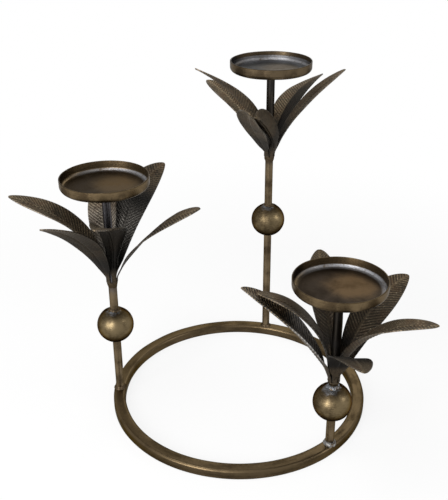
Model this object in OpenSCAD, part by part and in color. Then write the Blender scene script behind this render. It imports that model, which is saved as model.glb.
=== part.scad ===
// Welded metal candle holder: a floor ring carries three rods of different
// height. Each rod runs through a ball and a bunch of six pressed leaves and
// ends under a shallow candle pan. All sizes are in millimetres, Z is up and
// the ring lies on the plane Z = 0.

/* [Base ring] */
// Outside diameter of the floor ring
ring_diameter = 250; // [200:1:300]
// Width of the ring's bar, seen from above
ring_width = 12; // [9:0.5:18]
// Height of the ring's bar
ring_height = 10; // [7:0.5:16]
// Rounding along the four edges of the bar
ring_edge_radius = 2; // [0.5:0.1:3]

/* [Stems] */
// Diameter of the three upright rods
stem_diameter = 8; // [6:0.5:10]
// Angle round the ring of the low stem
low_stem_angle = -47.2; // [-80:0.2:-20]
// Angle round the ring of the middle stem
mid_stem_angle = 179.8; // [150:0.2:210]
// Angle round the ring of the high stem
high_stem_angle = 73.4; // [50:0.2:100]
// Height of the low pan's underside above the floor
low_pan_height = 170; // [150:1:190]
// Height of the middle pan's underside above the floor
mid_pan_height = 227; // [210:1:245]
// Height of the high pan's underside above the floor
high_pan_height = 301; // [280:1:320]

/* [Balls] */
// Diameter of the ball on each stem
ball_diameter = 35; // [28:0.5:40]
// Height of the low ball's centre
low_ball_height = 56; // [40:1:60]
// Height of the middle ball's centre
mid_ball_height = 84; // [60:1:110]
// Height of the high ball's centre
high_ball_height = 142; // [100:1:180]

/* [Candle pans] */
// Outside diameter of each pan
pan_diameter = 80; // [65:0.5:90]
// Height of a pan's wall, from its underside
pan_height = 10; // [7:0.5:15]
// Thickness of the pan's sheet
pan_sheet = 1.2; // [0.8:0.1:2]
// Outside radius of the bend between floor and wall
pan_corner_radius = 4; // [2:0.2:7]

/* [Leaves] */
// Width of a leaf at its widest place, measured flat
leaf_width = 31; // [24:0.5:33]
// Thickness of the leaf's sheet
leaf_sheet = 1; // [0.7:0.1:1.2]
// Width of a leaf's foot, where it lies on the stem
foot_width = 3.8; // [3:0.1:4.2]
// Width left at a leaf's tip
tip_width = 1; // [0.6:0.1:2]
// Height of the rib pressed along the leaf's middle
rib_height = 0.9; // [0.3:0.1:1.4]
// Height of the low bunch's foot above the floor
low_leaf_height = 78; // [77:0.5:90]
// Height of the middle bunch's foot above the floor
mid_leaf_height = 131; // [115:0.5:145]
// Height of the high bunch's foot above the floor
high_leaf_height = 213; // [195:0.5:225]

/* [Joints] */
// Gap left round a rod where another piece is threaded on it
rod_gap = 0.25; // [0.1:0.05:0.4]
// Height of the weld fillet at a stem's foot
foot_weld_height = 2.6; // [1.5:0.1:4]
// How far that fillet spreads from the rod
foot_weld_spread = 2.4; // [1:0.1:3.5]
// Height of the weld fillet on top of a ball
ball_weld_height = 2; // [1:0.1:2.4]
// How far that fillet spreads from the rod
ball_weld_spread = 3.2; // [1.5:0.1:5]
// Height of the weld cone under a bunch of leaves, where the ball leaves room
bunch_weld_height = 5; // [2:0.1:7]
// How far that cone spreads from the rod at its top
bunch_weld_spread = 2; // [1:0.1:3]
// Size of the weld fillet under a pan
pan_weld_size = 1.4; // [0.8:0.1:3]

/* [Hidden] */

$fn = 96;

// Finishes
BRASS = [0.46, 0.36, 0.24];
DARK_STEEL = [0.22, 0.20, 0.18];
PAN_BRASS = [0.42, 0.34, 0.25];
WELD_GREY = [0.45, 0.44, 0.42];

// The rods stand on the middle line of the ring's bar
ring_mid_radius = (ring_diameter - ring_width) / 2;
stem_radius = stem_diameter / 2;
bore_radius = stem_radius + rod_gap;
ball_radius = ball_diameter / 2;
pan_radius = pan_diameter / 2;

// A bunch sits at its given height, or higher where a ball would reach it
weld_room = 2.5;
function ball_top(ball_level) = ball_level + ball_radius + ball_weld_height;
function bunch_level(wanted, ball_level) = max(wanted, ball_top(ball_level) + weld_room);
low_leaf_level = bunch_level(low_leaf_height, low_ball_height);
mid_leaf_level = bunch_level(mid_leaf_height, mid_ball_height);
high_leaf_level = bunch_level(high_leaf_height, high_ball_height);

// Columns of a leaf's row. A leaf is one flat pressed blank, bent by hand.
FOOT = 0;       // angle round the stem of the leaf's foot
LEAN = 1;       // compass angle that the blade turns to
RISE = 2;       // slope of the blade at its foot, 90 is upright
DROOP = 3;      // slope of the blade at its tip, 0 is level
BEND = 4;       // below 1 the bend sits near the foot, above 1 near the tip
LENGTH = 5;     // length along the leaf's middle
TWIST = 6;      // turn of the blade about its own middle line, foot to tip
SWEEP = 7;      // sideways curve of the blade, foot to tip
CUP = 8;        // angle by which both wings are folded up near the foot
TIP_CUP = 9;    // the same at the tip

low_bends = [
    [211, 180.5, 70, 32.5, 0.76, 123.5, 3, -14.5, 29.5, 19.5],
    [148, 173, 89, 17, 1.04, 118, 8.5, 13.5, 14, 1.5],
    [92.5, 102, 62.5, 13, 1.4, 126, -6.5, -13, 34.5, 18.5],
    [37, 56.5, 64.5, 8.5, 0.95, 122.5, 23, -23, 0, 0],
    [-26.5, -44.5, 88.5, 14.5, 0.78, 129, -6.5, 10.5, 37.5, 0],
    [272.5, 270.5, 72, 14, 0.78, 131, -10.5, 3, 7.5, 0]
];
mid_bends = [
    [180, 180, 85.5, 20.5, 0.71, 126.5, -3.5, 3.5, 55.5, 0],
    [240, 248.5, 66, 23.5, 1.18, 128, 16, -11, 10, 0.5],
    [0.5, -28, 65, 26.5, 0.89, 131, 11, 0, 5, 0],
    [65, 79, 63.5, 11, 1.56, 132, 27, -32, 17, 0],
    [120, 105, 71, 13.5, 1.06, 123.5, -36, -21, 38, 1],
    [300.5, 289, 87, 16, 0.86, 131, -9.5, -32, 65, 0]
];
high_bends = [
    [184.5, 207.5, 84.5, 30, 0.72, 126, 9, -11, 51, 0],
    [127, 125.5, 71.5, 10, 0.37, 125, 4, -2, 34.5, 12.5],
    [68.5, 73.5, 72.5, 8, 0.47, 130.5, -23.5, -31.5, 23, 0.5],
    [6, 4.5, 68.5, 34.5, 1.04, 114, -0.5, -8.5, 14, 2],
    [239.5, 234.5, 49, 26, 0.85, 121, -49, 40, 5, 0],
    [295, 255, 75.5, 28, 0.3, 104, 58.5, -6.5, 52.5, 60]
];

// Where along a leaf, from 0 at the foot to 1 at the tip
foot_share = 0.07;      // the foot lies flat along the rod up to here
cup_share = 0.2;        // the wings reach their full fold here
turn_share = 0.3;       // the blade has turned to its lean here
neck_share = 0.16;      // the foot has opened into the blade here
outline_power = 1.45;   // moves the widest place towards the tip
outline_fullness = 0.7; // below 1 makes the blade fuller than a sine

// A leaf is cut into this many steps, closer together near the foot
leaf_steps = 15;
step_power = 1.25;
// Places across a leaf: edges, middles of the wings, both sides of the rib
across = [-1, -0.55, -0.13, 0, 0.13, 0.55, 1];
columns = len(across);
loop_size = 2 * columns;

function limited(x) = min(max(x, 0), 1);
function eased(x) = let (c = limited(x)) c * c * (3 - 2 * c);
function on_ring(angle) = ring_mid_radius * [cos(angle), sin(angle)];

// Slope, compass angle, fold and half width of a blade at place t
function slope(leaf, t) =
    let (bent = leaf[RISE] + (leaf[DROOP] - leaf[RISE]) * pow(t, leaf[BEND]))
    bent + (90 - bent) * (1 - eased(t / foot_share));
function compass(leaf, t) =
    leaf[FOOT] + (leaf[LEAN] - leaf[FOOT]) * eased(t / turn_share) + leaf[SWEEP] * t;
function fold(leaf, t) =
    (leaf[CUP] + (leaf[TIP_CUP] - leaf[CUP]) * t) * eased(t / cup_share);
function half_width(t) =
    leaf_width / 2 * pow(sin(180 * pow(t, outline_power)), outline_fullness)
    * eased(t / neck_share)
    + foot_width / 2 * pow(1 - t, 4)
    + tip_width / 2 * pow(t, 8);
function rib(t) = rib_height * eased((t - 0.05) / 0.2) * eased((1 - t) / 0.25);

// Unit vectors of the blade: along it, across it and out of its upper face
function along(leaf, t) =
    let (s = slope(leaf, t), c = compass(leaf, t))
    [cos(s) * cos(c), cos(s) * sin(c), sin(s)];
function level_side(leaf, t) = let (c = compass(leaf, t)) [-sin(c), cos(c), 0];
function side(leaf, t) =
    let (b = level_side(leaf, t), n = cross(along(leaf, t), b), a = leaf[TWIST] * t)
    cos(a) * b + sin(a) * n;
function upward(leaf, t) = cross(along(leaf, t), side(leaf, t));

// Places of the cross-sections and the middle line through them
function place(i) = pow(i / leaf_steps, step_power);
function foot_point(leaf, height) =
    [bore_radius * cos(leaf[FOOT]), bore_radius * sin(leaf[FOOT]), height];
function middle_line(leaf, height) = [
    for (
        i = 0, p = foot_point(leaf, height);
        i <= leaf_steps;
        p = p + leaf[LENGTH] * (place(i + 1) - place(i))
            * along(leaf, (place(i) + place(min(i + 1, leaf_steps))) / 2),
        i = i + 1
    ) p
];

// One point of a cross-section: u runs across, depth goes into the sheet
function section_point(leaf, t, middle, u, depth) =
    let (
        a = fold(leaf, t) * (0.7 + 0.3 * abs(u)),
        reach = half_width(t) * u,
        b = side(leaf, t),
        n = upward(leaf, t),
        lift = half_width(t) * abs(u) * sin(a) + (u == 0 ? rib(t) : 0),
        inward = cos(a) * n - sign(u) * sin(a) * b
    )
    middle + reach * cos(a) * b + lift * n - depth * inward;
function section_loop(leaf, t, middle) = concat(
    [for (k = [0 : columns - 1]) section_point(leaf, t, middle, across[k], 0)],
    [for (k = [columns - 1 : -1 : 0]) section_point(leaf, t, middle, across[k], leaf_sheet)]
);
function leaf_points(leaf, height) =
    let (line = middle_line(leaf, height))
    [for (i = [0 : leaf_steps]) each section_loop(leaf, place(i), line[i])];

// Triangles between neighbouring loops, and strips that close both ends
function corner(i, k) = i * loop_size + k % loop_size;
function side_faces() = [
    for (i = [0 : leaf_steps - 1]) for (k = [0 : loop_size - 1]) each [
        [corner(i, k), corner(i, k + 1), corner(i + 1, k)],
        [corner(i, k + 1), corner(i + 1, k + 1), corner(i + 1, k)]
    ]
];
function end_faces(i, flip) = [
    for (k = [0 : columns - 2]) each
        let (
            a = corner(i, k),
            b = corner(i, k + 1),
            c = corner(i, loop_size - 2 - k),
            d = corner(i, loop_size - 1 - k)
        )
        flip ? [[a, c, b], [a, d, c]] : [[a, b, c], [a, c, d]]
];
leaf_faces = concat(side_faces(), end_faces(0, true), end_faces(leaf_steps, false));

// The holder is shifted so that the origin lies under the middle of its
// whole outline, leaves included
function shifted_points(angle, bends, height) = [
    for (leaf = bends) for (p = leaf_points(leaf, height))
        [p[0] + on_ring(angle)[0], p[1] + on_ring(angle)[1]]
];
leaf_cloud = concat(
    shifted_points(low_stem_angle, low_bends, low_leaf_level),
    shifted_points(mid_stem_angle, mid_bends, mid_leaf_level),
    shifted_points(high_stem_angle, high_bends, high_leaf_level)
);
pan_centres = [on_ring(low_stem_angle), on_ring(mid_stem_angle), on_ring(high_stem_angle)];
function lowest(axis) = min(concat(
    [-ring_diameter / 2],
    [for (p = leaf_cloud) p[axis]],
    [for (p = pan_centres) p[axis] - pan_radius]
));
function highest(axis) = max(concat(
    [ring_diameter / 2],
    [for (p = leaf_cloud) p[axis]],
    [for (p = pan_centres) p[axis] + pan_radius]
));
ring_centre = [-(lowest(0) + highest(0)) / 2, -(lowest(1) + highest(1)) / 2];

module at_ring_centre() {
    translate([ring_centre[0], ring_centre[1], 0])
        children();
}

module at_stem(angle, height = 0) {
    at_ring_centre()
        translate([on_ring(angle)[0], on_ring(angle)[1], height])
            children();
}

// Rectangle with four rounded corners, from the origin up and to the right
module rounded_bar(width, height, radius) {
    translate([radius, 0])
        square([width - 2 * radius, height]);
    translate([0, radius])
        square([width, height - 2 * radius]);
    for (x = [radius, width - radius])
        for (y = [radius, height - radius])
            translate([x, y])
                circle(r = radius, $fn = 32);
}

module base_ring() {
    color(BRASS)
        at_ring_centre()
            rotate_extrude($fn = 192)
                translate([ring_mid_radius - ring_width / 2, 0])
                    rounded_bar(ring_width, ring_height, ring_edge_radius);
}

// Rod from the ring's top face to the pan's underside
module stem(angle, pan_level) {
    color(BRASS)
        at_stem(angle, ring_height)
            cylinder(r = stem_radius, h = pan_level - ring_height);
}

// Bored ball, threaded on its rod
module ball(angle, height) {
    color(BRASS)
        at_stem(angle, height)
            difference() {
                sphere(r = ball_radius);
                cylinder(r = bore_radius, h = 2 * ball_diameter, center = true);
            }
}

// Hollow fillet round a rod: wide and flat below, narrow above
module fillet(spread, height) {
    rim = 0.4;
    rotate_extrude($fn = 48)
        polygon([
            [bore_radius, 0],
            [bore_radius + spread, 0],
            [bore_radius + spread, rim],
            [bore_radius + spread * 0.45, height * 0.55],
            [bore_radius + rim, height],
            [bore_radius, height]
        ]);
}

// Weld on the ring's top face. The bar's rounded edges fall away under it,
// so the bead hangs over them a little.
module foot_weld(angle) {
    color(WELD_GREY)
        at_stem(angle, ring_height)
            fillet(foot_weld_spread, foot_weld_height);
}

// The low stem's weld is larger, with three drops run together
module low_foot_weld() {
    drop_radius = 2.2;
    color(WELD_GREY)
        at_stem(low_stem_angle, ring_height)
            difference() {
                union() {
                    fillet(foot_weld_spread, foot_weld_height);
                    for (turn = [-118, -96, -66])
                        rotate([0, 0, turn])
                            translate([stem_radius + 1.6, 0, 1])
                                sphere(r = drop_radius, $fn = 32);
                }
                translate([0, 0, -10])
                    cylinder(r = 20, h = 10);
                cylinder(r = bore_radius, h = 20, center = true);
            }
}

// Weld on a ball's crown, cut to the ball's surface
module ball_weld(angle, ball_level) {
    crown = sqrt(pow(ball_radius, 2) - pow(bore_radius, 2));
    skirt = sqrt(pow(ball_radius, 2) - pow(bore_radius + ball_weld_spread, 2));
    color(WELD_GREY)
        at_stem(angle, ball_level)
            difference() {
                translate([0, 0, skirt])
                    fillet(ball_weld_spread, crown - skirt + ball_weld_height);
                sphere(r = ball_radius + rod_gap);
            }
}

// Weld cone that closes the rod to the feet of a bunch, narrow below
module bunch_weld(angle, ball_level, leaf_level) {
    room = leaf_level - ball_top(ball_level) - 2 * rod_gap;
    height = min(bunch_weld_height, room);
    rim = 0.5;
    color(WELD_GREY)
        at_stem(angle, leaf_level - rod_gap - height)
            rotate_extrude($fn = 48)
                polygon([
                    [bore_radius, 0],
                    [bore_radius + rim, 0],
                    [bore_radius + bunch_weld_spread, height * 0.7],
                    [bore_radius + bunch_weld_spread, height - rim],
                    [bore_radius + bunch_weld_spread - rim, height],
                    [bore_radius, height]
                ]);
}

module leaf(angle, bends, number, leaf_level) {
    color(DARK_STEEL)
        at_stem(angle)
            polyhedron(
                points = leaf_points(bends[number - 1], leaf_level),
                faces = leaf_faces,
                convexity = 6
            );
}

// Fillet that closes the corner between a rod's end and its pan
module pan_weld(angle, pan_level) {
    color(WELD_GREY)
        at_stem(angle, pan_level)
            mirror([0, 0, 1])
                fillet(pan_weld_size, pan_weld_size);
}

// Half outline of a round dish, solid to its rim
module dish_half(radius, height, bend) {
    square([radius - bend, height]);
    translate([0, bend])
        square([radius, height - bend]);
    translate([radius - bend, bend])
        intersection() {
            circle(r = bend, $fn = 48);
            translate([0, -bend])
                square([bend, bend]);
        }
}

// Spun pan: flat floor, wide rounded corner and upright wall of one sheet
module pan(angle, pan_level) {
    color(PAN_BRASS)
        at_stem(angle, pan_level)
            rotate_extrude($fn = 144)
                difference() {
                    dish_half(pan_radius, pan_height, pan_corner_radius);
                    translate([0, pan_sheet])
                        dish_half(pan_radius - pan_sheet, pan_height, pan_corner_radius - pan_sheet);
                }
}

module low_stem() { stem(low_stem_angle, low_pan_height); }
module low_ball() { ball(low_stem_angle, low_ball_height); }
module low_ball_weld() { ball_weld(low_stem_angle, low_ball_height); }
module low_bunch_weld() { bunch_weld(low_stem_angle, low_ball_height, low_leaf_level); }
module low_leaf(number) { leaf(low_stem_angle, low_bends, number, low_leaf_level); }
module low_pan_weld() { pan_weld(low_stem_angle, low_pan_height); }
module low_pan() { pan(low_stem_angle, low_pan_height); }

module mid_stem() { stem(mid_stem_angle, mid_pan_height); }
module mid_foot_weld() { foot_weld(mid_stem_angle); }
module mid_ball() { ball(mid_stem_angle, mid_ball_height); }
module mid_ball_weld() { ball_weld(mid_stem_angle, mid_ball_height); }
module mid_bunch_weld() { bunch_weld(mid_stem_angle, mid_ball_height, mid_leaf_level); }
module mid_leaf(number) { leaf(mid_stem_angle, mid_bends, number, mid_leaf_level); }
module mid_pan_weld() { pan_weld(mid_stem_angle, mid_pan_height); }
module mid_pan() { pan(mid_stem_angle, mid_pan_height); }

module high_stem() { stem(high_stem_angle, high_pan_height); }
module high_foot_weld() { foot_weld(high_stem_angle); }
module high_ball() { ball(high_stem_angle, high_ball_height); }
module high_ball_weld() { ball_weld(high_stem_angle, high_ball_height); }
module high_bunch_weld() { bunch_weld(high_stem_angle, high_ball_height, high_leaf_level); }
module high_leaf(number) { leaf(high_stem_angle, high_bends, number, high_leaf_level); }
module high_pan_weld() { pan_weld(high_stem_angle, high_pan_height); }
module high_pan() { pan(high_stem_angle, high_pan_height); }

base_ring();

low_stem();
low_foot_weld();
low_ball();
low_ball_weld();
low_bunch_weld();
low_leaf(1);  // low_leaf_1
low_leaf(2);  // low_leaf_2
low_leaf(3);  // low_leaf_3
low_leaf(4);  // low_leaf_4
low_leaf(5);  // low_leaf_5
low_leaf(6);  // low_leaf_6
low_pan_weld();
low_pan();

mid_stem();
mid_foot_weld();
mid_ball();
mid_ball_weld();
mid_bunch_weld();
mid_leaf(1);  // mid_leaf_1
mid_leaf(2);  // mid_leaf_2
mid_leaf(3);  // mid_leaf_3
mid_leaf(4);  // mid_leaf_4
mid_leaf(5);  // mid_leaf_5
mid_leaf(6);  // mid_leaf_6
mid_pan_weld();
mid_pan();

high_stem();
high_foot_weld();
high_ball();
high_ball_weld();
high_bunch_weld();
high_leaf(1);  // high_leaf_1
high_leaf(2);  // high_leaf_2
high_leaf(3);  // high_leaf_3
high_leaf(4);  // high_leaf_4
high_leaf(5);  // high_leaf_5
high_leaf(6);  // high_leaf_6
high_pan_weld();
high_pan();
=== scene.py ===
"""Looks of the welded candle holder.

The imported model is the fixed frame. Ring, balls, pans, leaves and welds are
modelled again here as finer meshes that stand where their nodes stand, and the
rods keep their nodes. Sizes in the classes are millimetres in the frame's own
axes, and a mesh is turned to metres when it is finished.
"""

import logging
import math
from dataclasses import dataclass, field
from enum import Enum
from functools import cached_property
from typing import Any, Callable

import bmesh
import bpy
from bmesh.types import BMesh
from bpy.types import Material, NodeSocket, Object, World
from mathutils import Matrix, Vector, noise


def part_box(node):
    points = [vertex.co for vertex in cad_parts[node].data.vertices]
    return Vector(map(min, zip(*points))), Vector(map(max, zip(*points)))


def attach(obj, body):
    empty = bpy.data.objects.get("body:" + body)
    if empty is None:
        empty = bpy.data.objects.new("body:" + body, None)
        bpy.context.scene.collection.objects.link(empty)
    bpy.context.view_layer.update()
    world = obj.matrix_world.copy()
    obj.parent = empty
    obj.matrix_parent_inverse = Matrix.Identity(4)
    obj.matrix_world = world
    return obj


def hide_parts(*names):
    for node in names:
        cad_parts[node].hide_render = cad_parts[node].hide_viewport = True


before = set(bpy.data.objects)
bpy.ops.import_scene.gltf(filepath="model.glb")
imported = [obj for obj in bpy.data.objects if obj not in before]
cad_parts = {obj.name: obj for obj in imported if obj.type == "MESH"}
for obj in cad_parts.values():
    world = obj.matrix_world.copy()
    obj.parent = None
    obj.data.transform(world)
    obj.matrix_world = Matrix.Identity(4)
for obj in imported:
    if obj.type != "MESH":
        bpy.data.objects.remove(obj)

log = logging.getLogger("candle_holder")

MM = 0.001
UP = Vector((0.0, 0.0, 1.0))
ORIGIN = Vector((0.0, 0.0, 0.0))
ROOT = "root"
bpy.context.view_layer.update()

Colour = tuple[float, float, float]


def eased(x: float) -> float:
    """Returns a smooth step from 0 to 1 as x goes from 0 to 1."""
    c = min(max(x, 0.0), 1.0)
    return c * c * (3.0 - 2.0 * c)


def bell(x: float) -> float:
    """Returns 1 at x = 0, falling smoothly to nothing on both sides."""
    return math.exp(-x * x)


class Wire:
    """One output socket of a shader node, used in Python expressions."""

    def __init__(self, shader: "Shader", socket: NodeSocket | None) -> None:
        """Keeps the socket and the shader that its next nodes are added to."""
        self.shader = shader
        self.socket = socket

    def maths(self, operation: str, *values: "Wire | float") -> "Wire":
        """Adds a Math node.

        Args:
            operation: The Math node's operation.
            values: Its inputs in order.

        Returns:
            The node's result.
        """
        return self.shader.add("ShaderNodeMath", {"operation": operation}, dict(enumerate(values)))

    def __add__(self, other: "Wire | float") -> "Wire":
        """Returns self + other."""
        return self.maths("ADD", self, other)

    def __sub__(self, other: "Wire | float") -> "Wire":
        """Returns self - other."""
        return self.maths("SUBTRACT", self, other)

    def __rsub__(self, other: float) -> "Wire":
        """Returns other - self."""
        return self.maths("SUBTRACT", other, self)

    def __mul__(self, other: "Wire | float") -> "Wire":
        """Returns self * other."""
        return self.maths("MULTIPLY", self, other)

    def __pow__(self, other: float) -> "Wire":
        """Returns self raised to a power."""
        return self.maths("POWER", self, other)

    def __abs__(self) -> "Wire":
        """Returns the value without its sign."""
        return self.maths("ABSOLUTE", self)

    __radd__ = __add__

    def between(self, low: float, high: float) -> "Wire":
        """Makes a smooth step out of the value.

        Args:
            low: Where the step begins; it may be the larger one.
            high: Where the step ends.

        Returns:
            0 at low and beyond, 1 at high and beyond.
        """
        settings = {"interpolation_type": "SMOOTHSTEP"}
        ends = {"Value": self, "From Min": min(low, high), "From Max": max(low, high)}
        rising = self.shader.add("ShaderNodeMapRange", settings, ends)
        return rising if high > low else 1 - rising

    def limited(self) -> "Wire":
        """Returns the value held between 0 and 1."""
        return self.maths("MINIMUM", self.maths("MAXIMUM", self, 0.0), 1.0)


class Shader:
    """The node tree of a material or a world, and one method that adds any node."""

    def __init__(self, owner: Material | World) -> None:
        """Empties the owner's node tree and keeps both.

        Args:
            owner: The material or world.
        """
        owner.use_nodes = True
        self.owner = owner
        self.tree = owner.node_tree
        self.tree.nodes.clear()

    @classmethod
    def named(cls, name: str) -> "Shader":
        """Returns the shader of a new material of that name."""
        return cls(bpy.data.materials.new(name))

    def add(
        self,
        kind: str,
        settings: dict[str, Any] | None = None,
        inputs: dict[str | int, Any] | None = None,
        output: str | int = 0,
    ) -> Wire:
        """Adds a node.

        Args:
            kind: The node's type.
            settings: Its own settings, set before its sockets.
            inputs: Numbers, colours or links of its sockets, by name or number.
            output: The output to return.

        Returns:
            That output.
        """
        made = self.tree.nodes.new(kind)
        for key, value in (settings or {}).items():
            setattr(made, key, value)
        for key, value in (inputs or {}).items():
            if isinstance(value, Wire):
                self.tree.links.new(value.socket, made.inputs[key])
            elif isinstance(value, tuple):
                made.inputs[key].default_value = (*value, 1.0)
            else:
                made.inputs[key].default_value = value
        return Wire(self, made.outputs[output] if made.outputs else None)

    def mix(self, factor: Wire | float, low: Wire | Colour, high: Wire | Colour) -> Wire:
        """Returns a colour between low, at factor 0, and high, at factor 1."""
        return self.add("ShaderNodeMix", {"data_type": "RGBA"}, {0: factor, 6: low, 7: high}, 2)

    def place(self, centre: Vector, stretch: Vector | None = None) -> Wire:
        """Returns the object's coordinates in mm, counted from a centre.

        Args:
            centre: The centre in mm.
            stretch: Factors along X, Y and Z, applied after the centring.

        Returns:
            The coordinates as a vector.
        """
        factors = (stretch or Vector((1.0, 1.0, 1.0))) / MM
        shift = Vector([-c * MM * f for c, f in zip(centre, factors)])
        coords = self.add("ShaderNodeTexCoord", output="Object")
        inputs = {"Vector": coords, "Scale": factors, "Location": shift}
        return self.add("ShaderNodeMapping", None, inputs)

    def noise(
        self, where: Wire, scale: float, detail: float = 3.0, roughness: float = 0.55
    ) -> Wire:
        """Returns cloudy noise between 0 and 1 at a place."""
        inputs = {"Vector": where, "Scale": scale, "Detail": detail, "Roughness": roughness}
        return self.add("ShaderNodeTexNoise", None, inputs)

    def split(self, where: Wire) -> tuple[Wire, Wire, Wire]:
        """Returns a vector's three parts."""
        return tuple(self.add("ShaderNodeSeparateXYZ", None, {0: where}, i) for i in range(3))

    def join(self, x: Wire | float, y: Wire | float, z: Wire | float) -> Wire:
        """Returns a vector of three parts."""
        return self.add("ShaderNodeCombineXYZ", None, {0: x, 1: y, 2: z})

    def finish(
        self,
        colour: Wire,
        roughness: Wire,
        metallic: Wire | float,
        height: Wire,
        depth_mm: float,
        edge_tint: Colour,
    ) -> Material:
        """Ends the tree in a Principled shader.

        Args:
            colour: Base colour.
            roughness: Roughness.
            metallic: Metallic.
            height: Relief, from 0 to 1, for the bump.
            depth_mm: The relief's full depth.
            edge_tint: Share of the white sheen that is left at a low angle.

        Returns:
            The finished material.
        """
        relief = {"Strength": 1.0, "Distance": depth_mm * MM, "Height": height}
        bump = self.add("ShaderNodeBump", None, relief)
        surface = {
            "Base Color": colour,
            "Roughness": roughness,
            "Metallic": metallic,
            "Normal": bump,
            "Specular Tint": edge_tint,
        }
        shader = self.add("ShaderNodeBsdfPrincipled", None, surface)
        self.add("ShaderNodeOutputMaterial", None, {"Surface": shader})
        return self.owner


@dataclass
class Look:
    """What a finish has drawn so far."""

    shader: Shader
    colour: Wire
    rough: Wire
    spots: Wire


class Grain(Enum):
    """Which way a surface was brushed or spun."""

    ROUND = "fine lines round the axis, worn in long stretches"
    SPUN = "fine lines round the axis, with cloudy wear"
    UPRIGHT = "fine lines along the axis"
    CLOUDY = "no lines, only cloudy wear"


@dataclass(frozen=True)
class AgedBrass:
    """Brass with brown patina, rubbed bright in places."""

    name: str
    centre: Vector
    grain: Grain
    patina: Colour = (0.024, 0.017, 0.010)
    brown: Colour = (0.098, 0.070, 0.041)
    bright: Colour = (0.200, 0.150, 0.090)
    edge_tint: Colour = (0.40, 0.38, 0.34)
    roughness: float = 0.34
    wear: float = 0.5
    patina_share: float = 0.6
    relief_depth: float = 0.1
    lighter_top_above: float | None = None
    burnt_above: float | None = None
    burnt: Colour = (0.026, 0.027, 0.030)

    def streaks(self, shader: Shader) -> Wire:
        """Draws the fine lines that the brushing left.

        Args:
            shader: The tree.

        Returns:
            Their pattern, from 0 to 1.
        """
        if self.grain is Grain.UPRIGHT:
            return shader.noise(shader.place(self.centre, Vector((2.4, 2.4, 0.05))), 1.0)
        x, y, z = shader.split(shader.place(self.centre))
        radius = (x * x + y * y) ** 0.5
        if self.grain in (Grain.ROUND, Grain.SPUN):
            return shader.noise(shader.join(radius * 1.9, z * 1.9, 0.0), 1.0, 4.0, 0.7)
        return shader.noise(shader.place(self.centre, Vector((0.25, 0.25, 1.3))), 1.0, 4.0)

    def clouds(self, shader: Shader) -> Wire:
        """Draws the wear's slow changes over the surface.

        Args:
            shader: The tree.

        Returns:
            Their pattern, from 0 to 1.
        """
        where = shader.place(self.centre)
        if self.grain is not Grain.ROUND:
            return shader.noise(where, 0.05, 3.0, 0.5)
        x, y, z = shader.split(where)
        radius = (x * x + y * y) ** 0.5
        along = radius.maths("DIVIDE", 4.0, radius)
        return shader.noise(shader.join(x * along, y * along, (radius + z) * 0.1), 1.0, 3.0, 0.5)

    def height(self, shader: Shader) -> Wire:
        """Returns the height above the floor in mm."""
        return shader.split(shader.place(ORIGIN))[2]

    def extras(self, look: Look) -> None:
        """Adds to a look what this finish has beyond plain aged brass: nothing."""

    def material(self) -> Material:
        """Draws the finish as a node tree.

        Returns:
            The finished material.
        """
        shader = Shader.named(self.name)
        where = shader.place(self.centre)
        clouds = self.clouds(shader)
        spots = shader.noise(where, 0.42, 4.0, 0.65)
        lines = self.streaks(shader)
        touched = clouds * 0.7 + lines * 0.45 + spots * 0.25
        rubbed = touched.between(0.98 - self.wear, 1.1 - self.wear * 0.5)
        dark = (clouds * 0.7 + lines * 0.2 + spots * 0.1).between(0.56, 0.36)
        # The top face is lighter: rubbed by use, and in part a painted highlight where light falls
        # on the top.
        if self.lighter_top_above is not None:
            lighter_top = self.height(shader).between(self.lighter_top_above, self.lighter_top_above + 1.6)
            rubbed = (rubbed + lighter_top * 0.25).limited()
        colour = shader.mix(rubbed * 0.7, self.brown, self.bright)
        colour = shader.mix(dark * self.patina_share, colour, self.patina)
        pits = shader.noise(where, 0.8, 3.0, 0.6).between(0.42, 0.33) * clouds.between(0.62, 0.42)
        colour = shader.mix(pits * 0.6, colour, self.patina)
        rough = self.roughness + dark * 0.16 - rubbed * 0.06 + lines * 0.1
        if self.burnt_above is not None:
            level = self.height(shader) + (spots - 0.5) * 14.0
            heat = level.between(self.burnt_above - 16.0, self.burnt_above + 4.0)
            colour = shader.mix(heat * 0.85, colour, self.burnt)
        look = Look(shader, colour, rough, spots)
        self.extras(look)
        relief = lines * 0.5 + spots * 0.5
        return shader.finish(
            look.colour, look.rough, 1.0, relief, self.relief_depth, self.edge_tint
        )


@dataclass(frozen=True)
class CornerSheenBand:
    """A painted reflection of the lamps along a pan's inner corner, a silvery band.

    It is strongest toward one side, in degrees, and reaches inward over the
    floor and upward on the wall, in millimetres from the corner's own centre.
    """

    share: float = 0.6
    toward: float = 50.0
    inward: float = 1.4
    upward: float = -1.0


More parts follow.
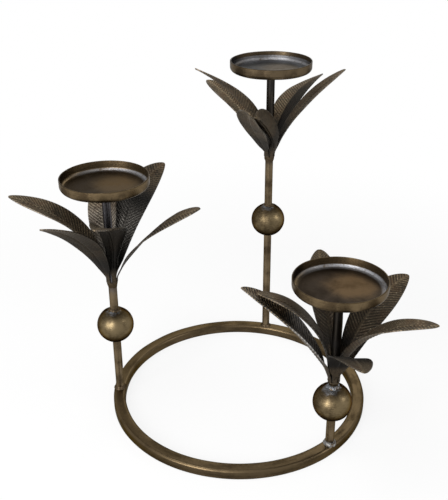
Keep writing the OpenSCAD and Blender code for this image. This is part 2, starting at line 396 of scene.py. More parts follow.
@dataclass(frozen=True, kw_only=True)
class SpunPanBrass(AgedBrass):
    """A pan's brass, with soot and painted shade inside and a painted reflection along its inner
    corner.
    """

    bend_radius: float
    bend_height: float
    bend_size: float
    rim_height: float
    soot_and_shade_share: float
    sheen_band: CornerSheenBand
    soot_and_shade: Colour
    floor_warm: Colour
    # Colour of the painted reflection in the inner corner.
    corner_sheen: Colour = (0.225, 0.230, 0.245)
    warm_spot: tuple[float, float] = (10.0, 3.0)

    def extras(self, look: Look) -> None:
        """Adds soot and painted shade to the floor and wall, and the painted reflection in the
        corner.

        Args:
            look: The look that is changed.
        """
        shader, spots = look.shader, look.spots
        x, y, z = shader.split(shader.place(self.centre))
        out = (x * x + y * y) ** 0.5 - self.bend_radius
        up = z - self.bend_height
        beyond, below = out.maths("MAXIMUM", out, 0.0), up.maths("MINIMUM", up, 0.0)
        reach = (beyond * beyond + below * below) ** 0.5
        inside = reach.between(self.bend_size + 0.7, self.bend_size + 0.4)
        patches = shader.noise(shader.place(self.centre), 0.06, 3.0, 0.5)
        off_x, off_y = x - self.warm_spot[0], y - self.warm_spot[1]
        from_spot = (off_x * off_x + off_y * off_y) ** 0.5
        # The floor is lighter round a warm spot and darker toward the wall: soot and painted
        # shade.
        warmth = from_spot.between(32.0, 4.0) * 0.7 + patches * 0.5 + spots * 0.3
        floor = out.between(1.5, -3.0) * up.between(0.0, -self.bend_size * 0.8) * inside
        floor_tone = shader.mix(warmth.between(0.4, 1.05), self.soot_and_shade, self.floor_warm)
        colour = shader.mix(floor, look.colour, floor_tone)
        way = math.radians(self.sheen_band.toward)
        facing = (x * math.cos(way) + y * math.sin(way)) * (1.0 / self.bend_radius)
        # Soot and painted shade: the inner wall darkens in patches, and most on the side opposite
        # the sheen.
        wall = inside * up.between(-2.2, -1.0)
        shaded = (facing.between(0.6, -0.7) * 0.6 + patches * 0.5 + spots * 0.3) * self.soot_and_shade_share
        colour = shader.mix(wall * shaded.between(0.45, 0.75) * 0.9, colour, self.soot_and_shade)
        rim = z.between(self.rim_height - 0.9, self.rim_height - 0.3)
        colour = shader.mix(rim * 0.6, colour, self.patina)
        level = self.sheen_band.upward
        # Painted reflection: a silvery band along the inner corner, strongest toward one side.
        sheen_band = inside * out.between(-self.sheen_band.inward, 0.2) * up.between(level, level - 1.0)
        broken = (spots * 0.5 + patches * 0.5 + 0.15).between(0.42, 0.66)
        painted_sheen = sheen_band * facing.between(-0.5, 1.0) * broken
        look.colour = shader.mix(painted_sheen * self.sheen_band.share, colour, self.corner_sheen)
        look.rough = look.rough + painted_sheen * 0.04


@dataclass(frozen=True)
class SolderRun:
    """How far solder ran down a ball.

    It covers what lies above a height over the ball's middle, and ran lower by
    its slope toward one side, in degrees.
    """

    toward: float = 250.0
    slope: float = 0.15
    height: float = 17.4


@dataclass(frozen=True, kw_only=True)
class SolderedBrass(AgedBrass):
    """A ball's brass, with painted shade above and below a lit belt and grey solder on its crown.
    """

    run: SolderRun
    solder: Colour = (0.215, 0.226, 0.246)
    lit_belt_height: float = 3.0

    def extras(self, look: Look) -> None:
        """Adds the painted shade of the poles and the solder.

        Args:
            look: The look that is changed.
        """
        shader, spots = look.shader, look.spots
        x, y, z = shader.split(shader.place(self.centre))
        # Painted shade: the ball darkens toward its top and bottom, away from the lit belt.
        pole_shade = abs(z - self.lit_belt_height).between(3.0, 15.0)
        colour = shader.mix(pole_shade * 0.85, look.colour, self.patina)
        way = math.radians(self.run.toward)
        level = z + (x * math.cos(way) + y * math.sin(way)) * self.run.slope
        runs = shader.place(self.centre, Vector((0.2, 0.2, 0.12)))
        smear = shader.noise(runs, 1.0)
        level = level + (smear - 0.5) * 4.0 + (spots - 0.5) * 3.0
        grey = level.between(self.run.height - 1.8, self.run.height + 1.2)
        look.colour = shader.mix(grey * 0.85, colour, self.solder)
        look.rough = look.rough - grey * 0.1


@dataclass(frozen=True)
class PressedLeaf:
    """Dark leaf metal with veins rubbed to brass.

    Reads the leaf's own map: U counts from the midrib outwards and V along the
    leaf, both in lengths of the leaf. The attribute "rim" runs from 0 at the
    midrib to 1 at the leaf's edge. A stretch has two ends in millimetres from
    the foot, and its effect grows from the first to the second. The lit share is
    1 for the finish as it is and 0 for black: it paints shade, strongest toward
    the foot, where the leaf lies in shade in the bunch and under the pan, and
    dark_half is 1 or -1 where only that side gets the painted shade.
    """

    name: str
    length: float
    vein_pitch: float
    vein_lean: float
    rubbed: float = 1.0
    silvered: float = 0.0
    shade: float = 1.0
    scorch: float = 0.6
    metallic: float = 0.75
    dark_half: int = 0
    foot_reach: float = 18.0
    vein_stretch: tuple[float, float] = (22.0, 56.0)
    wear_stretch: tuple[float, float] = (4.0, 62.0)
    scorch_stretch: tuple[float, float] = (70.0, 15.0)
    silver_start: tuple[float, float] = (20.0, 40.0)
    silver_end: tuple[float, float] = (84.0, 60.0)
    relief_depth: float = 0.16
    black: Colour = (0.0080, 0.0075, 0.0070)
    brown: Colour = (0.060, 0.044, 0.027)
    brass: Colour = (0.185, 0.138, 0.080)
    steel: Colour = (0.019, 0.020, 0.022)
    rust: Colour = (0.085, 0.048, 0.024)
    foot: Colour = (0.060, 0.045, 0.029)
    glint: Colour = (0.42, 0.34, 0.23)
    bare: Colour = (0.21, 0.195, 0.175)
    silver: Colour = (0.21, 0.195, 0.175)
    edge_tint: Colour = (0.50, 0.48, 0.45)

    def material(self) -> Material:
        """Draws the finish as a node tree.

        Returns:
            The finished material.
        """
        shader = Shader.named(self.name)
        u, v, _ = shader.split(shader.add("ShaderNodeTexCoord", output="UV"))
        edge = shader.add("ShaderNodeAttribute", {"attribute_name": "rim"}, None, "Fac")
        across = abs(u - 0.5) * self.length
        along = v * self.length
        where = shader.place(ORIGIN)
        clouds = shader.noise(where, 0.06, 3.0, 0.6)
        spots = shader.noise(where, 0.55, 4.0, 0.7)
        turns = (along - across * self.vein_lean) * (2.0 * math.pi / self.vein_pitch)
        crest = turns.maths("COSINE", turns + (spots - 0.5) * 3.4) * 0.5 + 0.5
        ridge = crest.between(0.2, 0.9)
        rib = across.between(1.5, 0.6)
        grown = along.between(*self.vein_stretch)
        toward_tip = along.between(*self.wear_stretch)
        rub = (clouds * 0.9 + spots * 0.45 + toward_tip * 0.25).between(0.55, 1.0) * self.rubbed
        veins = (ridge * grown * 0.85 + rib * 0.7).limited()
        browning = (clouds * 0.6 + toward_tip * 0.5).between(0.25, 0.7)
        colour = shader.mix(browning, self.steel, self.brown)
        colour = shader.mix((veins * 0.75 + 0.25) * rub * 0.8, colour, self.brass)
        furrow = (1 - ridge) * grown * (1 - rib) * (0.15 + rub * 0.35) * self.rubbed
        colour = shader.mix(furrow, colour, self.black)
        patches = shader.noise(where, 0.09, 2.0, 0.5)
        colour = shader.mix(patches.between(0.46, 0.62) * 0.45, colour, self.rust)
        soot = (spots * 0.55 + clouds * 0.45).between(0.52, 0.36)
        colour = shader.mix(soot * 0.7, colour, self.black)
        heat = along.between(*self.scorch_stretch) * 0.7 + clouds * 0.5 + spots * 0.2
        colour = shader.mix(heat.between(0.55, 0.95) * self.scorch, colour, self.steel)
        # Painted highlights: small bright glints on the vein crests.
        grains = shader.noise(where, 0.7, 2.0, 0.6).between(0.55, 0.68)
        painted_glints = ridge * grown * grains * (rub * 0.8 + 0.2)
        colour = shader.mix(painted_glints * 0.6, colour, self.glint)
        chafed = edge.between(0.9, 0.99) * (clouds * 0.6 + spots * 0.5).between(0.46, 0.7)
        colour = shader.mix(chafed * 0.5, colour, self.bare)
        # Painted shade: the leaf darkens toward its foot by its lit share, where it lies in shade
        # in the bunch and under the pan.
        painted_shade = along.between(self.length * 0.98, self.length * 0.62) * 0.7 + 0.3
        if self.dark_half != 0:
            painted_shade = painted_shade * ((u - 0.5) * self.dark_half).between(-0.012, 0.012)
        colour = shader.mix(painted_shade * (1.0 - self.shade), colour, self.black)
        browned = along.between(self.foot_reach, self.foot_reach - 13.0) * spots.between(0.3, 0.55)
        colour = shader.mix(browned, colour, self.foot)
        # Silver patches on the ridges: bare metal rubbed through, and in part a painted sheen of
        # steel.
        if self.silvered > 0:
            middle = along.between(*self.silver_start) * along.between(*self.silver_end)
            broken = (spots * 0.6 + clouds * 0.5).between(0.36, 0.58)
            bright = (ridge * 0.6 + 0.4) * middle * broken
            colour = shader.mix(bright * self.silvered, colour, self.silver)
        rough = 0.42 + (1 - rub) * 0.08 + spots * 0.1 - chafed * 0.1
        relief = veins * 0.7 + spots * 0.3
        return shader.finish(
            colour, rough, self.metallic, relief, self.relief_depth, self.edge_tint
        )


@dataclass(frozen=True)
class PaintedLightLeaf(PressedLeaf):
    """A dull, less metallic leaf face, painted lighter with more brass, less scorch and brighter
    silver: painted light that lifts its shaded hollow.
    """

    rubbed: float = 2.4
    scorch: float = 0.25
    metallic: float = 0.15
    silver: Colour = (0.50, 0.49, 0.48)


@dataclass(frozen=True)
class WeldMetal:
    """Grey weld or solder, lightly brushed, with soot in its hollows."""

    name: str
    grey: Colour = (0.15, 0.148, 0.142)
    soot: Colour = (0.020, 0.016, 0.012)
    brass: Colour = (0.072, 0.052, 0.032)
    brass_share: float = 0.4
    edge_tint: Colour = (0.40, 0.38, 0.34)

    def material(self) -> Material:
        """Draws the finish as a node tree.

        Returns:
            The finished material.
        """
        shader = Shader.named(self.name)
        where = shader.place(ORIGIN)
        clouds = shader.noise(where, 0.22, 3.0)
        spots = shader.noise(where, 0.9, 4.0, 0.7)
        share = clouds.between(0.72 - self.brass_share, 0.62 - self.brass_share)
        colour = shader.mix(share, self.brass, self.grey)
        colour = shader.mix(spots.between(0.5, 0.3), colour, self.soot)
        return shader.finish(colour, 0.36 + spots * 0.2, 1.0, spots, 0.2, self.edge_tint)


@dataclass
class Piece:
    """A finished piece: its name, its slot and the nodes that it stands for."""

    name: str
    slot: str
    nodes: tuple[str, ...]

    def make(self, mesh: BMesh, material: Material) -> Object:
        """Turns a mesh in millimetres into the piece's object in metres.

        Args:
            mesh: The mesh, which is freed.
            material: Its finish.

        Returns:
            The object, riding on the one rigid body.
        """
        bmesh.ops.transform(mesh, matrix=Matrix.Scale(MM, 4), verts=mesh.verts)
        data = bpy.data.meshes.new(self.name)
        mesh.to_mesh(data)
        mesh.free()
        data.shade_smooth()
        data.materials.append(material)
        made = bpy.data.objects.new(self.name, data)
        bpy.context.collection.objects.link(made)
        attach(made, ROOT)
        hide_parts(*self.nodes)
        log.info("%s: %d faces", self.name, len(data.polygons))
        return made


@dataclass
class Turning:
    """A shape turned round an upright axis from a few corners.

    Each corner is a distance from the axis and a height, and has its radius in
    rounding. An arc has arc_steps for each millimetre of its radius.
    """

    corners: list[tuple[float, float]]
    rounding: list[float]
    steps: int
    arc_steps: float = 3.42

    def mesh(self, centre: Vector) -> BMesh:
        """Rounds the outline's corners and spins it.

        Args:
            centre: A point of the axis, which lifts the outline by its height.

        Returns:
            The closed mesh.
        """
        made = bmesh.new()
        ring = [made.verts.new((r, 0.0, z)) for r, z in self.corners]
        made.faces.new(ring)
        for corner, radius in zip(ring, self.rounding):
            if radius > 0:
                bmesh.ops.bevel(
                    made,
                    geom=[corner],
                    offset=radius,
                    offset_type="OFFSET",
                    segments=max(3, round(radius * self.arc_steps) + 2),
                    profile=0.5,
                    affect="VERTICES",
                    material=-1,
                )
        bmesh.ops.delete(made, geom=made.faces[:], context="FACES_ONLY")
        on_axis = [e for e in made.edges if all(abs(v.co.x) < 1e-6 for v in e.verts)]
        bmesh.ops.delete(made, geom=on_axis, context="EDGES")
        bmesh.ops.spin(
            made,
            geom=made.verts[:] + made.edges[:],
            cent=ORIGIN,
            axis=UP,
            angle=math.tau,
            steps=self.steps,
            use_merge=True,
        )
        bmesh.ops.remove_doubles(made, verts=made.verts[:], dist=1e-4)
        bmesh.ops.recalc_face_normals(made, faces=made.faces[:])
        bmesh.ops.translate(made, verts=made.verts[:], vec=centre)
        return made


def roughen(
    mesh: BMesh, size: float, amount: float, where: Callable[[Vector], float] = lambda point: 1.0
) -> None:
    """Moves a mesh's points along their normals by smooth noise.

    Args:
        mesh: The mesh, in millimetres.
        size: The size of one bump.
        amount: The largest move.
        where: Gives the share of that move, from 0 to 1, at a point.
    """
    mesh.normal_update()
    for v in mesh.verts:
        share = where(v.co)
        if share > 0:
            v.co += v.normal * (amount * share * noise.noise(v.co / size))


@dataclass
class FloorRing:
    """The bar bent to a ring that everything stands on."""

    centre: Vector
    radius: float = 125.0
    width: float = 12.0
    height: float = 10.0
    edge: float = 2.6

    def build(self) -> None:
        """Builds and dresses the ring."""
        low, high = self.radius - self.width, self.radius
        bar = Turning(
            [(low, 0.0), (high, 0.0), (high, self.height), (low, self.height)],
            rounding=[self.edge] * 4,
            steps=288,
        )
        mesh = bar.mesh(self.centre)
        roughen(mesh, size=26.0, amount=0.22, where=lambda p: 1.0 if p.z > 1.0 else 0.0)
        finish = AgedBrass(
            "ring_brass",
            self.centre,
            Grain.ROUND,
            brown=(0.040, 0.028, 0.0155),
            bright=(0.108, 0.078, 0.043),
            wear=0.52,
            patina_share=0.4,
            lighter_top_above=self.height - 1.8,
        )
        Piece("ring_bar", "ring_brass", ("base_ring",)).make(mesh, finish.material())


@dataclass
class Leaf:
    """One pressed leaf: where its foot is and how its flat blank is bent.

    Angles are in degrees, and a place t is 0 at the foot and 1 at the tip. The
    blade starts at the compass angle foot, soon heads toward lean, and is swung
    on by sweep. Its slope falls from rise to droop by the power bend of t. It
    is turned about its own line by twist, and its wings are folded up by cup,
    or by tip_cup at the tip.
    """

    branch: str
    number: int
    base: Vector
    foot: float
    lean: float
    rise: float
    droop: float
    bend: float
    length: float
    twist: float
    sweep: float
    cup: float
    tip_cup: float
    width: float = 31.0
    sheet: float = 1.0
    foot_width: float = 3.8
    tip_width: float = 1.0
    bore: float = 4.25
    rib_height: float = 0.9
    vein_pitch: float = 3.3
    vein_lean: float = 0.85
    vein_height: float = 0.16
    across_steps: int = 40
    along_steps: int = 210

    def slope(self, t: float) -> float:
        """Returns the blade's slope in radians at place t."""
        bent = self.rise + (self.droop - self.rise) * t**self.bend
        return math.radians(bent + (90.0 - bent) * (1.0 - eased(t / 0.07)))

    def compass(self, t: float) -> float:
        """Returns the blade's direction, seen from above, in radians."""
        turned = self.foot + (self.lean - self.foot) * eased(t / 0.3)
        return math.radians(turned + self.sweep * t)

    def fold(self, t: float) -> float:
        """Returns the angle in radians by which the wings are folded up."""
        return math.radians((self.cup + (self.tip_cup - self.cup) * t) * eased(t / 0.2))

    def half_width(self, t: float) -> float:
        """Returns half the blank's width at place t."""
        blade = self.width / 2 * math.sin(math.pi * t**1.45) ** 0.7 if 0 < t < 1 else 0.0
        foot, tip = self.foot_width / 2 * (1 - t) ** 4, self.tip_width / 2 * t**8
        return blade * eased(t / 0.16) + foot + tip

    def axes(self, t: float) -> tuple[Vector, Vector, Vector]:
        """Works out how the blade lies at place t.

        Returns:
            The directions along the blade, across it and out of its face.
        """
        s, c, turn = self.slope(t), self.compass(t), math.radians(self.twist * t)
        along = Vector((math.cos(s) * math.cos(c), math.cos(s) * math.sin(c), math.sin(s)))
        level = Vector((-math.sin(c), math.cos(c), 0.0))
        side = level * math.cos(turn) + along.cross(level) * math.sin(turn)
        return along, side, along.cross(side)

    @cached_property
    def middle(self) -> list[Vector]:
        """The blade's middle line, one point for each step along."""
        a = math.radians(self.foot)
        point = self.base + self.bore * Vector((math.cos(a), math.sin(a), 0.0))
        line = [point.copy()]
        for i in range(self.along_steps):
            low, high = i / self.along_steps, (i + 1) / self.along_steps
            point = point + self.axes((low + high) / 2)[0] * (self.length * (high - low))
            line.append(point.copy())
        return line

    def relief(self, x: float, t: float) -> float:
        """Returns how far the pressing lifts the sheet.

        Args:
            x: Distance from the midrib.
            t: Place along the leaf.

        Returns:
            The lift in millimetres, of the midrib and the slanting veins.
        """
        half = self.half_width(t)
        rib = self.rib_height * eased((t - 0.05) / 0.2) * eased((1.0 - t) / 0.25) * bell(x / 1.3)
        turns = (t * self.length - self.vein_lean * abs(x)) * math.tau / self.vein_pitch
        inside = eased((abs(x) - 0.8) / 1.6) * eased((half - abs(x)) / 2.2)
        ends = eased((t - 0.12) / 0.14) * eased((0.97 - t) / 0.12)
        return rib + self.vein_height * math.cos(turns) * inside * ends

    def point(self, across: float, i: int) -> Vector:
        """Works out where a point of the blank comes to lie.

        Args:
            across: From -1 at one edge to 1 at the other.
            i: The step along the leaf.

        Returns:
            The point of the sheet's upper face.
        """
        t = i / self.along_steps
        _, side, out = self.axes(t)
        angle = self.fold(t) * (0.7 + 0.3 * abs(across))
        reach = self.half_width(t) * across
        inward = math.cos(angle) * out - math.copysign(1.0, across) * math.sin(angle) * side
        flat = self.middle[i] + reach * math.cos(angle) * side + abs(reach) * math.sin(angle) * out
        ripple = 0.25 * noise.noise((flat + 9.0 * self.number * UP) / 17.0) * abs(across) ** 3
        return flat + (self.relief(reach, t) + ripple) * inward

    def build(self, upper: Material, under: Material) -> None:
        """Builds the leaf from a grid that is bent to shape, and dresses it.

        Args:
            upper: The finish of the face that looks up, and of the edge.
            under: The finish of the other face.
        """
        mesh = bmesh.new()
        across_steps, along_steps = self.across_steps, self.along_steps
        bmesh.ops.create_grid(mesh, x_segments=across_steps, y_segments=along_steps, size=1.0)
        maps = mesh.loops.layers.uv.new("leaf")
        rim = mesh.verts.layers.float.new("rim")
        spots = {}
        for v in mesh.verts:
            raw = v.co.x
            across = math.copysign(abs(raw) ** 1.15, raw)
            i = round((v.co.y + 1.0) / 2.0 * along_steps)
            reach = self.half_width(i / along_steps) * across
            spots[v] = (0.5 + reach / self.length, i / along_steps)
            v[rim] = abs(raw)
            v.co = self.point(across, i)
        for face in mesh.faces:
            for loop in face.loops:
                loop[maps].uv = spots[loop.vert]
        bmesh.ops.reverse_faces(mesh, faces=mesh.faces[:])
        softened = mesh.edges.layers.float.new("bevel_weight_edge")
        for edge in mesh.edges:
            edge[softened] = 1.0 if edge.is_boundary else 0.0
        node = f"{self.branch}_leaf_{self.number}"
        made = Piece(f"{node}_blade", "leaf_dark", (node,)).make(mesh, upper)
        made.data.materials.append(under)
        wall = made.modifiers.new("sheet", "SOLIDIFY")
        wall.thickness = self.sheet * MM
        wall.offset = -1.0
        wall.material_offset = 1
        soft = made.modifiers.new("rim", "BEVEL")
        soft.width = 0.28 * MM
        soft.segments = 2
        soft.limit_method = "WEIGHT"


@dataclass
class Branch:
    """One rod with its ball, leaves, pan and welds.

    The leaves have one row of bends and one lit share each, in their order, and
    are told apart by their numbers elsewhere. A lit share below 1 paints shade.
    """

    name: str
    foot: Vector
    pan_height: float
    ball_height: float
    leaf_height: float
    bends: list[tuple[float, ...]]
    rod_radius: float = 4.0
    ball_radius: float = 17.5
    pan_radius: float = 40.0
    pan_wall: float = 10.0
    pan_sheet: float = 1.2
    pan_bend: float = 4.0
    pan_rim: float = 0.4395
    ring_top: float = FloorRing.height
    solder_spread: float = 3.0
    solder_height: float = 2.0
    cone_height: float = 5.0
    burnt: Colour = (0.020, 0.020, 0.021)
    ball_wear: float = 0.5
    silvered_leaves: tuple[int, ...] = ()
    painted_light_leaves: tuple[int, ...] = ()
    shaded_halves: dict[int, int] = field(default_factory=dict)
    foot_reach: float = 18.0
    large_foot_weld: bool = False
    solder_run: SolderRun = SolderRun()
    corner_sheen: CornerSheenBand = CornerSheenBand()
    wall_soot_and_shade: float = 1.0
    pan_brown: Colour = (0.078, 0.054, 0.029)
    pan_bright: Colour = (0.190, 0.138, 0.076)
    pan_soot_and_shade: Colour = (0.034, 0.024, 0.014)
    pan_warm: Colour = (0.092, 0.061, 0.029)
    shades: tuple[float, ...] = (1.0, 1.0, 1.0, 1.0, 1.0, 1.0)

    def at(self, height: float) -> Vector:
        """Returns the point of the rod's axis at a height."""
        return Vector((self.foot.x, self.foot.y, height))

    def dress_rod(self) -> None:
        """Gives the rod's own node its finish."""
        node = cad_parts[f"{self.name}_stem"]
        finish = AgedBrass(
            f"{self.name}_rod_brass",
            self.foot,
            Grain.UPRIGHT,
            roughness=0.36,
            burnt_above=self.leaf_height,
            burnt=self.burnt,
        ).material()
        for place in node.material_slots:
            place.material = finish
        log.info("%s rod: height %.0f mm", self.name, self.pan_height)

    def build_ball(self) -> None:
        """Builds the ball, with a thin run of solder on its crown."""
        mesh = bmesh.new()
        bmesh.ops.create_uvsphere(mesh, u_segments=96, v_segments=64, radius=self.ball_radius)
        bmesh.ops.translate(mesh, verts=mesh.verts[:], vec=self.at(self.ball_height))
        soldered_from = self.ball_height + self.ball_radius - 7.0
        roughen(mesh, size=4.5, amount=0.5, where=lambda p: eased((p.z - soldered_from) / 6.0))
        roughen(mesh, size=13.0, amount=0.14)
        finish = SolderedBrass(
            f"{self.name}_ball_brass",
            self.at(self.ball_height),
            Grain.CLOUDY,
            brown=(0.088, 0.064, 0.034),
            bright=(0.200, 0.152, 0.084),
            edge_tint=(0.24, 0.20, 0.15),
            relief_depth=0.035,
            wear=self.ball_wear,
            run=self.solder_run,
        )
        piece = Piece(f"{self.name}_ball_shell", "ball_brass", (f"{self.name}_ball",))
        piece.make(mesh, finish.material())

    def build_pan(self) -> None:
        """Builds the spun pan: flat floor, rounded corner and upright wall."""
        r, h, s, bend = self.pan_radius, self.pan_wall, self.pan_sheet, self.pan_bend
        corners = [(0.0, 0.0), (r, 0.0), (r, h), (r - s, h), (r - s, s), (0.0, s)]
        rounding = [0.0, bend, self.pan_rim, self.pan_rim, bend - s, 0.0]
        mesh = Turning(corners, rounding, steps=192).mesh(self.at(self.pan_height))
        roughen(mesh, size=23.0, amount=0.2)
        finish = SpunPanBrass(
            f"{self.name}_pan_brass",
            self.at(self.pan_height),
            Grain.SPUN,
            brown=self.pan_brown,
            bright=self.pan_bright,
            edge_tint=(0.60, 0.60, 0.60),
            bend_radius=r - bend,
            bend_height=bend,
            bend_size=bend - s,
            rim_height=h,
            soot_and_shade_share=self.wall_soot_and_shade,
            sheen_band=self.corner_sheen,
            soot_and_shade=self.pan_soot_and_shade,
            floor_warm=self.pan_warm,
        )
        piece = Piece(f"{self.name}_pan_dish", "pan_brass", (f"{self.name}_pan",))
        piece.make(mesh, finish.material())

    def build_leaves(self) -> None:
        """Builds the branch's leaves in the order of their numbers."""
        for number, bends in enumerate(self.bends, start=1):
            leaf = Leaf(self.name, number, self.at(self.leaf_height), *bends)
            veins = (leaf.length, leaf.vein_pitch, leaf.vein_lean)
            silvered = 0.6 if number in self.silvered_leaves else 0.0
            shade = self.shades[number - 1]
            face = PaintedLightLeaf if number in self.painted_light_leaves else PressedLeaf
            upper = face(
                f"{self.name}_leaf_{number}_upper",
                *veins,
                silvered=silvered,
                shade=shade,
                dark_half=self.shaded_halves.get(number, 0),
                foot_reach=self.foot_reach,
            )
            under = PressedLeaf(
                f"{self.name}_leaf_{number}_under",
                *veins,
                rubbed=0.55,
                silvered=silvered * 0.8,
                shade=shade,
                foot_reach=self.foot_reach,
            )
            leaf.build(upper.material(), under.material())

    def build_welds(self) -> None:
        """Builds the beads at the ring, on the ball, under the leaves and the pan.

        Their outlines are counted out from the rod's side and up from their own
        level. The ends are sunk in the rod.
        """
        grey = WeldMetal(f"{self.name}_weld_grey").material()
        browned = WeldMetal(f"{self.name}_weld_brown", brass_share=0.9).material()
        at_foot = at_ball = grey
        if self.large_foot_weld:
            silver, tin = (0.25, 0.247, 0.24), (0.195, 0.205, 0.222)
            at_foot = WeldMetal(f"{self.name}_weld_silver", silver, brass_share=0.12).material()
            at_ball = WeldMetal(f"{self.name}_solder", tin, brass_share=0.12).material()
        r, spread, sunk = self.rod_radius, self.solder_spread, -0.6
        crown = self.ball_height + math.sqrt(self.ball_radius**2 - (r + spread) ** 2)
        ball_top = self.ball_height + self.ball_radius + self.solder_height
        low = -min(self.cone_height, self.leaf_height - ball_top - 0.5)
        foot = [(sunk, -0.4), (2.3, -0.4), (1.3, 0.9), (0.4, 2.3), (sunk, 2.6)]
        ball = [(sunk, -1.0), (spread, -0.5), (1.9, 0.6), (0.7, 1.9), (sunk, 2.6)]
        cone = [(sunk, low - 0.8), (0.1, low - 0.5), (0.9, low * 0.45), (1.2, 0.2), (sunk, 1.0)]
        collar = [(sunk, -1.6), (0.4, -1.6), (1.5, -0.1), (1.5, 0.0), (sunk, 0.0)]
        for kind, level, outline, lumps, finish in (
            ("foot", self.ring_top, foot, 0.6, at_foot),
            ("ball", crown, ball, 0.8, at_ball),
            ("bunch", self.leaf_height, cone, 0.3, browned),
            ("pan", self.pan_height, collar, 0.2, grey),
        ):
            corners = [(r + out, up) for out, up in outline]
            rounding = [0.0, 0.293, 0.4688, 0.3516, 0.0]
            bead = Turning(corners, rounding, steps=48).mesh(self.at(level))
            bmesh.ops.subdivide_edges(bead, edges=bead.edges[:], cuts=1, use_grid_fill=True)
            if kind == "foot" and self.large_foot_weld:
                self.add_drops(bead)
            roughen(bead, size=3.1, amount=lumps)
            node = f"{self.name}_{kind}_weld"
            Piece(f"{node}_bead", "weld_grey", (node,)).make(bead, finish)

    def add_drops(self, bead: BMesh) -> None:
        """Adds the three drops that ran together beside the rod's foot.

        Args:
            bead: The mesh of the weld.
        """
        lift, reach = 1.1, 5.4
        for toward, radius in ((-118.0, 2.3), (-96.0, 2.6), (-66.0, 2.1)):
            a = math.radians(toward)
            out = reach * Vector((math.cos(a), math.sin(a), 0.0))
            spot = Matrix.Translation(self.at(self.ring_top + lift) + out)
            bmesh.ops.create_icosphere(bead, subdivisions=4, radius=radius, matrix=spot)

    def build(self) -> None:
        """Builds the whole branch."""
        self.dress_rod()
        self.build_ball()
        self.build_leaves()
        self.build_pan()
        self.build_welds()


@dataclass(frozen=True)
class Lamp:
    """A round soft lamp: its place and width in metres, and its power in watts."""

    name: str
    place: tuple[float, float, float]
    width: float
    power: float


@dataclass
class Studio:
    """Pale floor, soft light and the photograph's camera."""

    ring_centre: Vector
    eye: tuple[float, float, float] = (-18.35, -657.15, 494.26)
    pitch: float = 0.464974
    yaw: float = 0.008923
    roll: float = -0.005279
    lens_mm: float = 57.394
    shift: tuple[float, float] = (-0.00265, -0.0028)
    floor_glow: float = 0.86
    shadow_end: tuple[float, float] = (300.0, 700.0)
    lamps: tuple[Lamp, ...] = (
        Lamp("overhead", (-0.45, -0.25, 1.5), 0.7, 7.0),
        Lamp("front_left", (-0.85, -1.35, 0.70), 1.15, 36.0),
        Lamp("right", (1.35, -0.5, 0.75), 0.5, 3.5),
        Lamp("back", (0.3, 1.3, 1.1), 0.9, 3.0),
    )

    def set_camera(self) -> None:
        """Puts the camera where the photograph was taken from."""
        data = bpy.data.cameras.new("photo_camera")
        data.sensor_width = 36.0
        data.lens = self.lens_mm
        data.shift_x, data.shift_y = self.shift
        made = bpy.data.objects.new("photo_camera", data)
        bpy.context.collection.objects.link(made)
        level = math.cos(self.pitch)
        ahead = Vector(
            (math.sin(self.yaw) * level, math.cos(self.yaw) * level, -math.sin(self.pitch))
        )
        right = Vector((math.cos(self.yaw), -math.sin(self.yaw), 0.0))
        above = right.cross(ahead)
        c, s = math.cos(self.roll), math.sin(self.roll)
        right, above = c * right + s * above, c * above - s * right
        turn = Matrix((right, above, -ahead)).transposed().to_4x4()
        place = (Vector(self.eye) + self.ring_centre) * MM
        made.matrix_world = Matrix.Translation(place) @ turn
        bpy.context.scene.camera = made

    def lay_floor(self) -> None:
        """Lays the floor, white to the camera but for the object's shadow."""
        mesh = bmesh.new()
        bmesh.ops.create_grid(mesh, x_segments=1, y_segments=1, size=4.0)
        data = bpy.data.meshes.new("floor")
        mesh.to_mesh(data)
        mesh.free()
        floor = bpy.data.objects.new("floor", data)
        bpy.context.collection.objects.link(floor)
        shader = Shader.named("floor_white")
        seen = self.seen_directly(shader)
        paper = shader.add("ShaderNodeBsdfDiffuse", None, {"Color": (0.92, 0.92, 0.92)})
        white = {"Color": (1.0, 1.0, 1.0), "Strength": 1.0}
        glow = shader.add("ShaderNodeEmission", None, white)
        x, y, _ = shader.split(shader.place(ORIGIN))
        away = ((x * x + y * y) ** 0.5).between(*self.shadow_end)
        share = seen * (away * (1.0 - self.floor_glow) + self.floor_glow)
        surface = shader.add("ShaderNodeMixShader", None, {0: share, 1: paper, 2: glow})
        shader.add("ShaderNodeOutputMaterial", None, {"Surface": surface})
        data.materials.append(shader.owner)

    def seen_directly(self, shader: Shader) -> Wire:
        """Tells the rays that see a thing from those that only light it.

        Args:
            shader: The tree.

        Returns:
            1 for a ray from the camera, off a glossy surface or through a clear one.
        """
        camera = shader.add("ShaderNodeLightPath", output="Is Camera Ray")
        glossy = shader.add("ShaderNodeLightPath", output="Is Glossy Ray")
        clear = shader.add("ShaderNodeLightPath", output="Is Transmission Ray")
        return (camera + glossy + clear).limited()

    def light(self) -> None:
        """Hangs the soft lamps and sets the even light from all round."""
        world = bpy.data.worlds.new("studio")
        bpy.context.scene.world = world
        shader = Shader(world)
        strength = self.seen_directly(shader) * 0.75 + 0.25
        white = {"Color": (1.0, 1.0, 1.0), "Strength": strength}
        sky = shader.add("ShaderNodeBackground", None, white)
        shader.add("ShaderNodeOutputWorld", None, {"Surface": sky})
        target = Vector((0.0, 0.0, 0.15))
        for lamp in self.lamps:
            data = bpy.data.lights.new(lamp.name, "AREA")
            data.shape = "DISK"
            data.size = lamp.width
            data.energy = lamp.power
            hung = bpy.data.objects.new(lamp.name, data)
            bpy.context.collection.objects.link(hung)
            hung.location = lamp.place
            aim = target - Vector(lamp.place)
            hung.rotation_euler = aim.to_track_quat("-Z", "Y").to_euler()

    def build(self) -> None:
        """Sets up the whole studio."""
        self.set_camera()
        self.lay_floor()
        self.light()
        bpy.context.scene.view_settings.view_transform = "Standard"


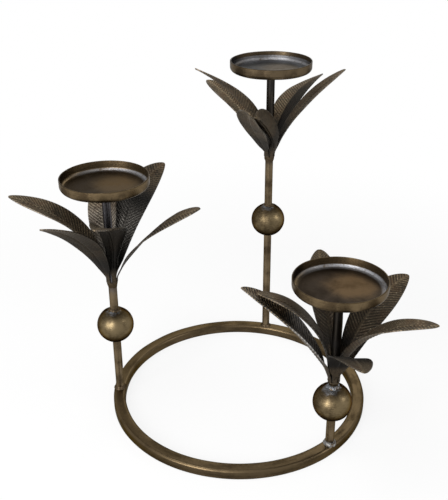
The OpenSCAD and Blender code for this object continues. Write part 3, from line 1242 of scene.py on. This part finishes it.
# A row for each leaf: foot, lean, rise, droop, bend, length, twist, sweep, cup and tip_cup.
LOW_BENDS = [
    (211, 180.5, 70, 32.5, 0.76, 123.5, 3, -14.5, 29.5, 19.5),
    (148, 173, 89, 17, 1.04, 118, 8.5, 13.5, 14, 1.5),
    (92.5, 102, 62.5, 13, 1.4, 126, -6.5, -13, 34.5, 18.5),
    (37, 56.5, 64.5, 8.5, 0.95, 122.5, 23, -23, 0, 0),
    (-26.5, -44.5, 88.5, 14.5, 0.78, 129, -6.5, 10.5, 37.5, 0),
    (272.5, 270.5, 72, 14, 0.78, 131, -10.5, 3, 7.5, 0),
]
MID_BENDS = [
    (180, 180, 85.5, 20.5, 0.71, 126.5, -3.5, 3.5, 55.5, 0),
    (240, 248.5, 66, 23.5, 1.18, 128, 16, -11, 10, 0.5),
    (0.5, -28, 65, 26.5, 0.89, 131, 11, 0, 5, 0),
    (65, 79, 63.5, 11, 1.56, 132, 27, -32, 17, 0),
    (120, 105, 71, 13.5, 1.06, 123.5, -36, -21, 38, 1),
    (300.5, 289, 87, 16, 0.86, 131, -9.5, -32, 65, 0),
]
HIGH_BENDS = [
    (184.5, 207.5, 84.5, 30, 0.72, 126, 9, -11, 51, 0),
    (127, 125.5, 71.5, 10, 0.37, 125, 4, -2, 34.5, 12.5),
    (68.5, 73.5, 72.5, 8, 0.47, 130.5, -23.5, -31.5, 23, 0.5),
    (6, 4.5, 68.5, 34.5, 1.04, 114, -0.5, -8.5, 14, 2),
    (239.5, 234.5, 49, 26, 0.85, 121, -49, 40, 5, 0),
    (295, 255, 75.5, 28, 0.3, 104, 58.5, -6.5, 52.5, 60),
]


def node_centre(node: str) -> Vector:
    """Returns the middle of a node's box, in millimetres."""
    low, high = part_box(node)
    return (Vector(low) + Vector(high)) / (2 * MM)


def main() -> None:
    """Builds the object and the studio."""
    logging.basicConfig(level=logging.INFO, format="%(name)s: %(message)s")
    ring_centre = node_centre("base_ring")
    ring_centre.z = 0.0
    FloorRing(ring_centre).build()
    for branch in (
        Branch(
            "low",
            node_centre("low_stem"),
            pan_height=170.0,
            ball_height=56.0,
            leaf_height=78.0,
            bends=LOW_BENDS,
            large_foot_weld=True,
            foot_reach=34.0,
            solder_run=SolderRun(toward=225.0, slope=0.25, height=17.6),
            silvered_leaves=(1, 2),
            painted_light_leaves=(1,),
            corner_sheen=CornerSheenBand(share=0.95, inward=3.0, upward=-0.2),
            pan_soot_and_shade=(0.024, 0.017, 0.011),
            pan_warm=(0.070, 0.044, 0.021),
            shades=(1.0, 0.65, 0.25, 0.35, 0.85, 0.0),
        ),
        Branch(
            "mid",
            node_centre("mid_stem"),
            pan_height=227.0,
            ball_height=84.0,
            leaf_height=131.0,
            bends=MID_BENDS,
            burnt=(0.100, 0.100, 0.115),
            ball_wear=0.72,
            wall_soot_and_shade=0.65,
            corner_sheen=CornerSheenBand(share=0.75, inward=2.2, upward=-0.6),
            silvered_leaves=(4, 5),
            shades=(0.64, 0.28, 0.56, 0.0, 0.90, 0.12),
        ),
        Branch(
            "high",
            node_centre("high_stem"),
            pan_height=301.0,
            ball_height=142.0,
            leaf_height=213.0,
            bends=HIGH_BENDS,
            ball_wear=0.42,
            corner_sheen=CornerSheenBand(share=0.75, toward=70.0, inward=11.0, upward=2.6),
            wall_soot_and_shade=1.15,
            shaded_halves={3: -1},
            pan_brown=(0.052, 0.038, 0.023),
            pan_bright=(0.135, 0.099, 0.058),
            pan_soot_and_shade=(0.036, 0.036, 0.036),
            pan_warm=(0.085, 0.070, 0.052),
            shades=(0.85, 0.85, 0.08, 0.65, 0.58, 0.62),
        ),
    ):
        branch.build()
    Studio(ring_centre).build()


if __name__ == "__main__":
    main()
